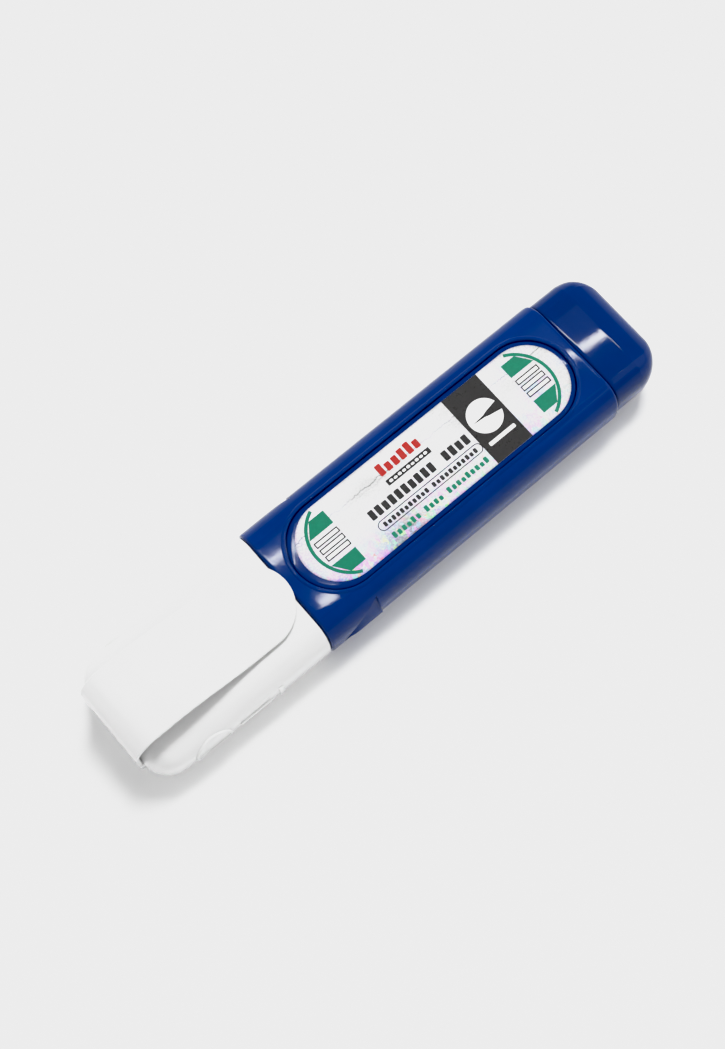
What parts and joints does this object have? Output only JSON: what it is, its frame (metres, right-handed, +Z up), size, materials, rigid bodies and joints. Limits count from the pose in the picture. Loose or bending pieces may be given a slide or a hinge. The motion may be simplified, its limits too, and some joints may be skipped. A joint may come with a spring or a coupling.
{
  "type": "correction pen",
  "caption": "Flat squeeze-type correction pen: blue barrel with squeezable labelled walls, navy tail, needle-valve metal tip and a pull-off white cap with a wide sprung pocket clip.",
  "frame": {"origin": "middle of the bounding box in X and Y, at its bottom: the pen lies on its back face on z = 0", "axes": "+X from the cap to the tail, +Z up out of the face that carries the clip, +Y to the left when looking along +X"},
  "size_m": [0.128, 0.0286, 0.0196],
  "materials": {
    "blue_plastic": "glossy injection-moulded deep blue",
    "navy_plastic": "glossy blow-moulded navy",
    "panel_plastic": "glossy flexible blue wall",
    "collar_plastic": "moulded blue, semi-gloss",
    "white_plastic": "moulded white, satin",
    "natural_plastic": "natural acetal, satin",
    "black_rubber": "soft black elastomer",
    "soft_seal": "soft translucent white elastomer",
    "tip_metal": "turned and polished nickel-plated brass",
    "needle_steel": "drawn stainless wire",
    "ball_steel": "polished steel",
    "label_film": "printed silver film with a pearly, rainbow-flecked sheen",
    "cap_plastic": "glossy injection-moulded white"
  },
  "bodies": {
    "barrel": {"barrel_sleeve": "blue_plastic", "reservoir_bottle": "navy_plastic", "bottle_neck": "navy_plastic", "front_collar": "collar_plastic", "tip_holder": "white_plastic", "neck_gasket": "black_rubber", "spring_seat": "natural_plastic", "metal_tip": "tip_metal", "tip_seal": "black_rubber"},
    "front_panel": {"front_squeeze_panel": "panel_plastic", "front_label": "label_film"},
    "back_panel": {"back_squeeze_panel": "panel_plastic", "back_label": "label_film"},
    "needle": {"valve_needle": "needle_steel", "needle_collar": "natural_plastic", "valve_spring": "needle_steel"},
    "ball": {"mixing_ball": "ball_steel"},
    "cap": {"cap_shell": "cap_plastic", "cap_inner_seal": "soft_seal"},
    "clip": {"pocket_clip": "cap_plastic"}
  },
  "joints": [
    {"name": "cap_pull", "type": "slide", "parent": "barrel", "child": "cap", "axis": [-1, 0, 0], "range_m": [0, 0.042]},
    {"name": "clip_flex", "type": "hinge", "parent": "cap", "child": "clip", "pos_m": [-0.0636, 0, 0.0087], "axis": [0, -1, 0], "range_deg": [0, 6], "stiffness_Nm_per_rad": 2.5},
    {"name": "front_panel_press", "type": "slide", "parent": "barrel", "child": "front_panel", "axis": [0, 0, -1], "range_m": [0, 0.0012], "stiffness_N_per_m": 8000},
    {"name": "back_panel_press", "type": "slide", "parent": "barrel", "child": "back_panel", "axis": [0, 0, 1], "range_m": [0, 0.0012], "stiffness_N_per_m": 8000},
    {"name": "needle_press", "type": "slide", "parent": "barrel", "child": "needle", "axis": [1, 0, 0], "range_m": [0, 0.0005], "stiffness_N_per_m": 1000, "deforming": ["valve_spring"]},
    {"name": "ball_roll", "type": "slide", "parent": "barrel", "child": "ball", "axis": [1, 0, 0], "range_m": [-0.0425, 0.0285]}
  ]
}
